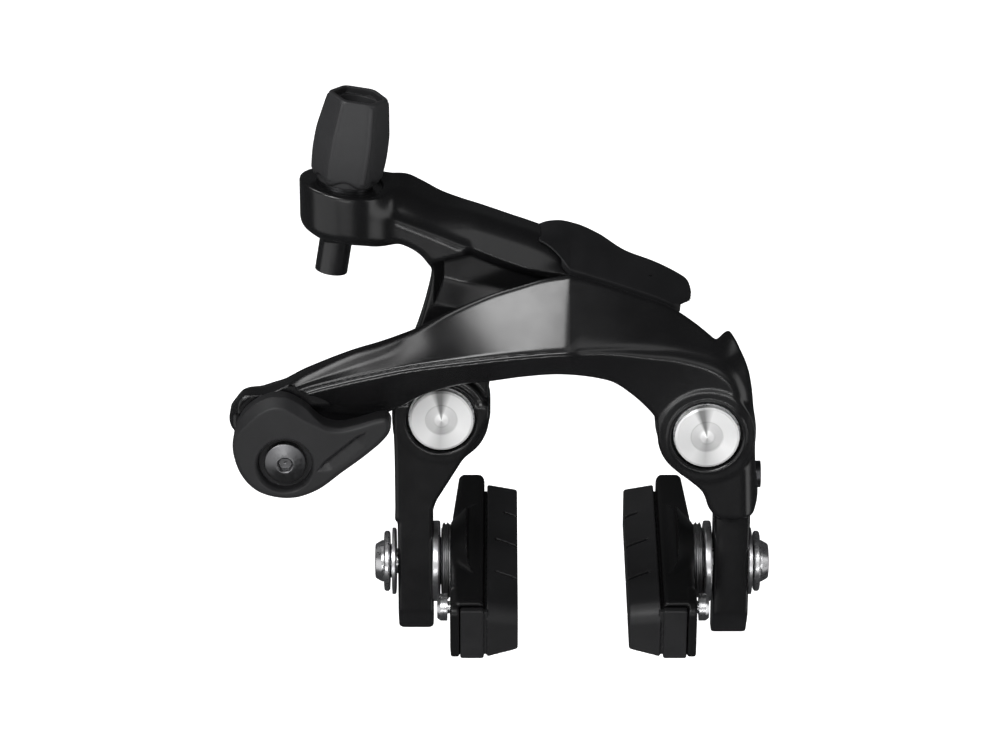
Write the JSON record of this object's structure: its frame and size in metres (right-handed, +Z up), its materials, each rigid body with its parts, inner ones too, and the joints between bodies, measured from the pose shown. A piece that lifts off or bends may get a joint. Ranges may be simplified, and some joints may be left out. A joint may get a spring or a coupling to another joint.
{
  "type": "rim brake caliper",
  "caption": "Direct-mount dual-pivot bicycle rim brake caliper with forged arms, quick-release lever, barrel adjuster and cartridge brake shoes.",
  "frame": {"origin": "midway between the two mounting bolts, on the face that meets the bicycle frame or fork", "axes": "+Y along the mounting bolts into the frame, +Z up, +X to the right seen from the front"},
  "size_m": [0.1273, 0.0604, 0.134],
  "materials": {
    "gloss_black": "gloss",
    "matte_black": "matt",
    "lever_grey": "satin",
    "knob_rubber": "matt",
    "turned_silver": "bright turned",
    "steel": "satin",
    "dark_steel": "satin",
    "spring_steel": "satin",
    "plate_black": "satin",
    "bush_bronze": "satin",
    "nylon": "matt",
    "holder_black": "satin",
    "pad_rubber": "matt"
  },
  "bodies": {
    "frame_side": {"stay_plate": "plate_black", "left_mounting_bolt": "steel", "right_mounting_bolt": "steel", "left_pivot_sleeve": "steel", "right_pivot_sleeve": "steel", "left_pivot_cap": "turned_silver", "right_pivot_cap": "turned_silver", "thrust_washers": "nylon", "left_return_spring": "spring_steel", "right_return_spring": "spring_steel"},
    "left_arm": {"left_arm": "gloss_black", "left_pivot_bushes": "bush_bronze", "link_cover": "matte_black", "cover_screws": "dark_steel", "roller_pin": "steel", "adjuster_wave_washer": "steel"},
    "sync_roller": {"sync_roller": "steel"},
    "adjuster_knob": {"adjuster_knob": "knob_rubber"},
    "adjuster_barrel": {"adjuster_barrel": "matte_black"},
    "right_arm": {"right_arm": "gloss_black", "right_pivot_bushes": "bush_bronze"},
    "centering_block": {"centering_block": "nylon"},
    "centering_screw": {"centering_screw": "dark_steel"},
    "qr_lever": {"qr_lever": "lever_grey", "qr_retaining_ring": "steel", "cable_anchor_bolt": "dark_steel", "cable_anchor_washer": "steel", "cable_anchor_nut": "steel"},
    "left_shoe_slide": {"left_inner_slot_washer": "turned_silver", "left_outer_slot_washer": "steel"},
    "left_shoe_swivel": {"left_ribbed_seat": "dark_steel", "left_dished_washer": "steel"},
    "left_shoe": {"left_shoe_holder": "holder_black", "left_shoe_bolt": "steel", "left_pad_screw": "turned_silver"},
    "left_pad": {"left_brake_pad": "pad_rubber"},
    "right_shoe_slide": {"right_inner_slot_washer": "turned_silver", "right_outer_slot_washer": "steel"},
    "right_shoe_swivel": {"right_ribbed_seat": "dark_steel", "right_dished_washer": "steel"},
    "right_shoe": {"right_shoe_holder": "holder_black", "right_shoe_bolt": "steel", "right_pad_screw": "turned_silver"},
    "right_pad": {"right_brake_pad": "pad_rubber"}
  },
  "joints": [
    {"name": "right_arm_pivot", "type": "hinge", "parent": "frame_side", "child": "right_arm", "pos_m": [0.031, 0, 0], "axis": [0, 1, 0], "range_deg": [0, 10], "stiffness_Nm_per_rad": 0.6, "springref_deg": -22.92, "deforming": ["right_return_spring"]},
    {"name": "left_arm_pivot", "type": "hinge", "parent": "frame_side", "child": "left_arm", "pos_m": [-0.031, 0, 0], "axis": [0, -1, 0], "range_deg": [0, 10], "stiffness_Nm_per_rad": 0.6, "springref_deg": -22.92, "deforming": ["left_return_spring"]},
    {"name": "roller_spin", "type": "hinge", "parent": "left_arm", "child": "sync_roller", "pos_m": [0, -0.0129, 0.029], "axis": [0, 1, 0], "continuous": true},
    {"name": "qr_lever_turn", "type": "hinge", "parent": "right_arm", "child": "qr_lever", "pos_m": [-0.0666, -0.02, -0.0003], "axis": [0, 1, 0], "range_deg": [0, 95]},
    {"name": "adjuster_turn", "type": "hinge", "parent": "left_arm", "child": "adjuster_knob", "pos_m": [-0.053, -0.012, 0.0573], "axis": [0.1616, 0, 0.9869], "range_deg": [-1440, 1440]},
    {"name": "adjuster_travel", "type": "slide", "parent": "left_arm", "child": "adjuster_barrel", "axis": [0.1616, 0, 0.9869], "range_m": [-0.00399, 0.00399]},
    {"name": "centering_screw_turn", "type": "hinge", "parent": "centering_block", "child": "centering_screw", "pos_m": [0.04, -0.01, -0.0171], "axis": [-1, 0, 0], "range_deg": [-450, 220]},
    {"name": "centering_block_travel", "type": "slide", "parent": "right_arm", "child": "centering_block", "axis": [-1, 0, 0], "range_m": [-0.00085, 0.00042]},
    {"name": "left_shoe_height", "type": "slide", "parent": "left_arm", "child": "left_shoe_slide", "axis": [0, 0, 1], "range_m": [-0.0045, 0.0045]},
    {"name": "left_shoe_toe_in", "type": "hinge", "parent": "left_shoe_slide", "child": "left_shoe_swivel", "pos_m": [-0.039, -0.0125, -0.0388], "axis": [0, 0, 1], "range_deg": [-3, 3]},
    {"name": "left_shoe_tilt", "type": "hinge", "parent": "left_shoe_swivel", "child": "left_shoe", "pos_m": [-0.039, -0.0125, -0.0388], "axis": [1, 0, 0], "range_deg": [-12, 12]},
    {"name": "left_pad_slide", "type": "slide", "parent": "left_shoe", "child": "left_pad", "axis": [0, -0.9903, -0.1392], "range_m": [0, 0.05]},
    {"name": "right_shoe_height", "type": "slide", "parent": "right_arm", "child": "right_shoe_slide", "axis": [0, 0, 1], "range_m": [-0.0045, 0.0045]},
    {"name": "right_shoe_toe_in", "type": "hinge", "parent": "right_shoe_slide", "child": "right_shoe_swivel", "pos_m": [0.039, -0.0125, -0.0388], "axis": [0, 0, 1], "range_deg": [-3, 3]},
    {"name": "right_shoe_tilt", "type": "hinge", "parent": "right_shoe_swivel", "child": "right_shoe", "pos_m": [0.039, -0.0125, -0.0388], "axis": [1, 0, 0], "range_deg": [-12, 12]},
    {"name": "right_pad_slide", "type": "slide", "parent": "right_shoe", "child": "right_pad", "axis": [0, -0.9903, -0.1392], "range_m": [0, 0.05]}
  ],
  "couplings": [
    {"joint": "left_arm_pivot", "follows": "right_arm_pivot", "ratio": 1},
    {"joint": "adjuster_turn", "follows": "adjuster_travel", "rad_per_m": 6283.2},
    {"joint": "centering_screw_turn", "follows": "centering_block_travel", "rad_per_m": 8976}
  ]
}
